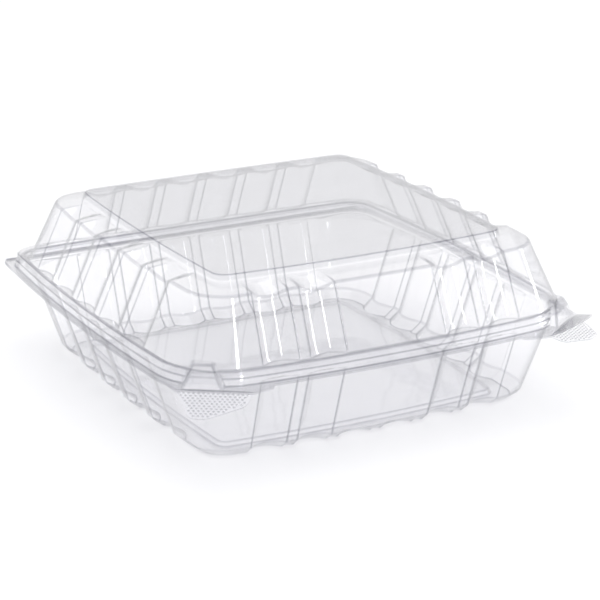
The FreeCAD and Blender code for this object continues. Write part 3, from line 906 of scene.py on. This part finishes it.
def node_tree(name, inputs):
    """Geometry node group with named float inputs, and its input and output nodes."""
    tree = bpy.data.node_groups.new(name, "GeometryNodeTree")
    tree.interface.new_socket("Geometry", in_out="INPUT", socket_type="NodeSocketGeometry")
    for label, value in inputs.items():
        socket = tree.interface.new_socket(label, in_out="INPUT", socket_type="NodeSocketFloat")
        socket.default_value = value
    tree.interface.new_socket("Geometry", in_out="OUTPUT", socket_type="NodeSocketGeometry")
    return tree, new_node(tree, "NodeGroupInput"), new_node(tree, "NodeGroupOutput")


def finish_tree(tree, geometry, material, out):
    """End a tree in real geometry with its material."""
    real = new_node(tree, "GeometryNodeRealizeInstances")
    paint = new_node(tree, "GeometryNodeSetMaterial", Material=material)
    wire(tree, (geometry, real.inputs[0]), (real.outputs[0], paint.inputs[0]),
         (paint.outputs[0], out.inputs[0]))


def diamond_tree(material):
    """Staggered diamonds on the faces of the input, which lies in its own XY plane."""
    tree, source, out = node_tree("flap_diamonds", {"Pitch": 2.0, "Rise": 0.25, "Field": 70.0})
    grid = new_node(tree, "GeometryNodeMeshGrid")
    pitch, rise, field = source.outputs["Pitch"], source.outputs["Rise"], source.outputs["Field"]
    across = maths(tree, "DIVIDE", field, pitch)
    wire(tree,
         (field, grid.inputs["Size X"]), (field, grid.inputs["Size Y"]),
         (across, grid.inputs["Vertices X"]),
         (maths(tree, "MULTIPLY", across, 1.6), grid.inputs["Vertices Y"]))
    here = new_node(tree, "GeometryNodeInputPosition")
    index = new_node(tree, "GeometryNodeInputIndex")
    odd = maths(tree, "MODULO", index.outputs[0], 2)
    slide = maths(tree, "MULTIPLY", odd, maths(tree, "MULTIPLY", pitch, 0.5))
    shift = new_node(tree, "ShaderNodeCombineXYZ")
    shift.inputs[2].default_value = 1.0
    stagger = new_node(tree, "GeometryNodeSetPosition")
    ray = new_node(tree, "GeometryNodeRaycast", Ray_Direction=(0, 0, -1))
    onto = new_node(tree, "GeometryNodeSetPosition")
    low = new_node(tree, "GeometryNodeSeparateGeometry")
    split = new_node(tree, "ShaderNodeSeparateXYZ")
    wire(tree,
         (slide, shift.inputs[0]),
         (grid.outputs["Mesh"], stagger.inputs["Geometry"]),
         (shift.outputs[0], stagger.inputs["Offset"]),
         (source.outputs["Geometry"], ray.inputs["Target Geometry"]),
         (here.outputs[0], ray.inputs["Source Position"]),
         (stagger.outputs[0], onto.inputs["Geometry"]),
         (ray.outputs["Is Hit"], onto.inputs["Selection"]),
         (ray.outputs["Hit Position"], onto.inputs["Position"]),
         (here.outputs[0], split.inputs[0]),
         (onto.outputs[0], low.inputs["Geometry"]),
         (maths(tree, "LESS_THAN", split.outputs[2], 0.5), low.inputs["Selection"]))
    cone = new_node(tree, "GeometryNodeMeshCone", Vertices=4, Radius_Top=0.0)
    cone.fill_type = "NGON"
    on_points = new_node(tree, "GeometryNodeInstanceOnPoints", Scale=(1.0, 0.66, 1.0))
    wire(tree,
         (maths(tree, "MULTIPLY", pitch, 0.44), cone.inputs["Radius Bottom"]),
         (rise, cone.inputs["Depth"]),
         (low.outputs["Selection"], on_points.inputs["Points"]),
         (cone.outputs["Mesh"], on_points.inputs["Instance"]))
    finish_tree(tree, on_points.outputs[0], material, out)
    return tree


def ridge_tree(material):
    """A row of slanting ridges along the input's X axis."""
    tree, source, out = node_tree("lug_ridges", {"Count": 8.0, "Pitch": 1.5, "Length": 4.6,
                                                 "Radius": 0.28})
    line = new_node(tree, "GeometryNodeMeshLine")
    step = new_node(tree, "ShaderNodeCombineXYZ")
    rod = new_node(tree, "GeometryNodeMeshCylinder", Vertices=8)
    on_points = new_node(tree, "GeometryNodeInstanceOnPoints",
                         Rotation=(math.radians(90), 0, math.radians(-RIDGE_SLANT)))
    wire(tree,
         (source.outputs["Count"], line.inputs["Count"]),
         (source.outputs["Pitch"], step.inputs[0]),
         (step.outputs[0], line.inputs["Offset"]),
         (source.outputs["Radius"], rod.inputs["Radius"]),
         (source.outputs["Length"], rod.inputs["Depth"]),
         (line.outputs["Mesh"], on_points.inputs["Points"]),
         (rod.outputs["Mesh"], on_points.inputs["Instance"]))
    finish_tree(tree, on_points.outputs[0], material, out)
    return tree


def grown(tree, points, values, matrix):
    """Plain mesh that a tree makes from a flat polygon, moved to its place."""
    data = bpy.data.meshes.new("field")
    data.from_pydata([(p.x, p.y, 0.0) for p in points], [], [list(range(len(points)))])
    field = linked("field", data)
    modifier = field.modifiers.new("grow", "NODES")
    modifier.node_group = tree
    for item in tree.interface.items_tree:
        if item.name in values:
            modifier[item.identifier] = values[item.name]
    evaluated = field.evaluated_get(bpy.context.evaluated_depsgraph_get())
    result = bpy.data.meshes.new_from_object(evaluated)
    bpy.data.objects.remove(field)
    bpy.data.meshes.remove(data)
    result.transform(matrix)
    return result


def lug_face_matrix(side):
    """Matrix from the flat frame of a lid housing's front face, in millimetres, to its place."""
    low = tab_point(side, LUG_START, -LUG_SET_BACK, LID_BOTTOM)
    along, outward = tab_axes(side)[1:]
    lean = (Vector((0, 0, LUG_RISE)) - outward * LUG_LEAN).normalized()
    axes = Matrix((along, lean, along.cross(lean))).transposed().to_4x4()
    return Matrix.Translation(low) @ axes @ Matrix.Scale(MM, 4)


def joined(name, meshes, body):
    """One riding piece from several meshes."""
    whole = bmesh.new()
    for data in meshes:
        whole.from_mesh(data)
        bpy.data.meshes.remove(data)
    bmesh.ops.recalc_face_normals(whole, faces=whole.faces)
    data = bpy.data.meshes.new(name)
    whole.to_mesh(data)
    whole.free()
    data.materials.append(grip_material)
    piece = linked(name, data)
    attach(piece, body)
    print(name, "faces", len(data.polygons))


# The diamonds and ridges are greyer than the plain sheet by painted shade, standing in for light
# that their small faces turn aside.
grip_material = clear_sheet("gripped_sheet", (0.88, 0.88, 0.89), PAINTED_EDGE_SHADE, (0.7, 0.7, 0.7),
                            (1, 1, 1), 0.05, 0.0)
diamonds, ridges = diamond_tree(grip_material), ridge_tree(grip_material)
tray_fields, lid_fields = [], []
for side in (-1, 1):
    for fields, z, tilt, ratio in ((tray_fields, BASE_TOP - SHEET, -FLAP_DROPS[side], 1.0),
                                   (lid_fields, LID_BOTTOM, LID_FLAP_LIFT, LID_FLAP_RATIO)):
        top = flap_matrix(side, z, tilt) @ Matrix.Translation((0, 0, SHEET))
        fields.append(grown(diamonds, flap_shape(ratio, FIELD_MARGIN), DIAMONDS, top))
ridge_field = lug_face_matrix(1) @ Matrix.Translation(RIDGE_PLACE)
lid_fields.append(grown(ridges, flap_shape(1.0, 0.0), RIDGES, ridge_field))
joined("tray_grips", tray_fields, "base")
joined("lid_grips", lid_fields, "lid")

# %% [markdown]
# At the back the two flanges are one sheet, folded in half. The fold is a bent strip, a mesh of its
# own.

# %% Fold at the back
FOLD_HALF_LENGTH, FOLD_STEPS, FOLD_REACH, FOLD_PARTS = 98.0, 12, 1.2, 8


def make_fold():
    """Half-round strip of sheet about the hinge line, with a short flat on each flange."""
    centre = Vector((0, (BACK_DEPTH + MIDDLE_Y) * MM, (BASE_TOP + SHEET_GAP / 2) * MM))
    section = []
    for radius in (FOLD_RADIUS, SHEET_GAP / 2):
        arc = [Vector((0, -FOLD_REACH, -radius))]
        for step in range(FOLD_STEPS + 1):
            angle = math.pi * (step / FOLD_STEPS - 0.5)
            arc.append(Vector((0, radius * math.cos(angle), radius * math.sin(angle))))
        arc.append(Vector((0, -FOLD_REACH, radius)))
        section += arc if radius == FOLD_RADIUS else arc[::-1]
    mesh = bmesh.new()
    rings = []
    for part in range(FOLD_PARTS + 1):
        x = FOLD_HALF_LENGTH * (2 * part / FOLD_PARTS - 1)
        rings.append([mesh.verts.new(centre + (Vector((x, 0, 0)) + point) * MM)
                      for point in section])
    for lower, upper in zip(rings, rings[1:]):
        bridge(mesh, lower, upper)
    mesh.faces.new(rings[0])
    mesh.faces.new(rings[-1])
    strip = finished("fold_strip", mesh)
    mark_bends(strip)
    strip.data.materials.append(sheet_material)
    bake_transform(strip)


make_fold()

# %% [markdown]
# The studio: a white floor that keeps a soft shadow, a backdrop that is white at the horizon and
# greyer overhead, and strip lamps whose mirror images run down the flutes as bright streaks.

# %% Floor, world and lamps
FLOOR_DROP, FLOOR_SIZE, WHITE = -0.0004, 3.0, (0.97, 0.97, 0.97, 1)


def make_floor():
    """Large pale floor under the pack."""
    mesh = bmesh.new()
    bmesh.ops.create_grid(mesh, x_segments=4, y_segments=4, size=FLOOR_SIZE)
    data = bpy.data.meshes.new("studio_floor")
    mesh.to_mesh(data)
    mesh.free()
    floor = linked("studio_floor", data)
    floor.location.z = FLOOR_DROP
    material = bpy.data.materials.new("white_floor")
    material.use_nodes = True
    principled = material.node_tree.nodes["Principled BSDF"]
    principled.inputs["Base Color"].default_value = WHITE
    principled.inputs["Roughness"].default_value = 0.8
    data.materials.append(material)


def make_world():
    """White at the horizon to the eye and in gloss, greyer overhead, and an even light."""
    world = bpy.data.worlds.new("studio")
    bpy.context.scene.world = world
    world.use_nodes = True
    tree = world.node_tree
    tree.nodes.clear()
    out = new_node(tree, "ShaderNodeOutputWorld")
    mix = new_node(tree, "ShaderNodeMixShader")
    lit = new_node(tree, "ShaderNodeBackground", Color=(0.95, 0.95, 0.965, 1),
                      Strength=1.0)
    seen = new_node(tree, "ShaderNodeBackground", Strength=1.0)
    path = new_node(tree, "ShaderNodeLightPath")
    gloss = maths(tree, "MAXIMUM", path.outputs["Is Camera Ray"], path.outputs["Is Glossy Ray"])
    seen_by = maths(tree, "MAXIMUM", gloss, path.outputs["Is Transmission Ray"])
    coords = new_node(tree, "ShaderNodeTexCoord")
    split = new_node(tree, "ShaderNodeSeparateXYZ")
    ramp = new_node(tree, "ShaderNodeValToRGB")
    ramp.color_ramp.elements[0].position = 0.3
    ramp.color_ramp.elements[0].color = (1, 1, 1, 1)
    ramp.color_ramp.elements[1].position = 0.85
    ramp.color_ramp.elements[1].color = (0.3, 0.3, 0.32, 1)
    wire(tree,
         (coords.outputs["Generated"], split.inputs[0]),
         (split.outputs["Z"], ramp.inputs[0]),
         (ramp.outputs[0], seen.inputs["Color"]),
         (seen_by, mix.inputs["Fac"]),
         (lit.outputs[0], mix.inputs[1]),
         (seen.outputs[0], mix.inputs[2]),
         (mix.outputs[0], out.inputs["Surface"]))


def strip_lamp(name, place_at, target, width, height, power, shadow):
    """Area lamp that faces a point. Only the soft box casts shadows: the strips are for gloss."""
    data = bpy.data.lights.new(name, "AREA")
    data.shape = "RECTANGLE"
    data.size, data.size_y = width, height
    data.energy = power
    data.use_shadow = shadow
    lamp = linked(name, data)
    lamp.location = place_at
    lamp.rotation_euler = (Vector(target) - Vector(place_at)).to_track_quat("-Z", "Y").to_euler()


make_floor()
make_world()
strip_lamp("right_strip", (1.55, -0.62, 0.6), (0, 0, 0.05), 0.14, 0.8, 3.5, False)
strip_lamp("front_strip", (-0.04, -1.7, 0.95), (0, 0, 0.05), 0.12, 0.5, 2.5, False)
strip_lamp("top_box", (0.1, 0.5, 2.2), (0, 0, 0), 1.6, 1.6, 8, True)

# %% [markdown]
# The camera was worked out from the photograph's edges: a long lens, turned 28.5 degrees to the
# left of the front and 19 degrees above the horizon. Its place is in millimetres.

# %% Camera
CAMERA_TARGET = (6.79, 0.0, 34.52)
CAMERA_AZIMUTH, CAMERA_ELEVATION, CAMERA_ROLL = -28.51, 18.98, 0.25
CAMERA_DISTANCE = 1064.57
CAMERA_LENS = 136.36


def make_camera():
    """Camera at the photograph's angle."""
    azimuth, elevation = math.radians(CAMERA_AZIMUTH), math.radians(CAMERA_ELEVATION)
    back = Vector((math.sin(azimuth) * math.cos(elevation),
                   -math.cos(azimuth) * math.cos(elevation), math.sin(elevation)))
    target = Vector((CAMERA_TARGET[0], CAMERA_TARGET[1] + MIDDLE_Y, CAMERA_TARGET[2])) * MM
    data = bpy.data.cameras.new("camera")
    data.lens = CAMERA_LENS
    data.sensor_width = 36.0
    data.clip_start, data.clip_end = 0.05, 50.0
    camera = linked("camera", data)
    camera.location = target + back * CAMERA_DISTANCE * MM
    turn = back.to_track_quat("Z", "Y").to_matrix()
    camera.rotation_euler = (turn @ Matrix.Rotation(math.radians(CAMERA_ROLL), 3, "Z")).to_euler()
    bpy.context.scene.camera = camera


make_camera()
bpy.context.scene.view_settings.view_transform = "Standard"
bpy.context.scene.cycles.transparent_max_bounces = 64
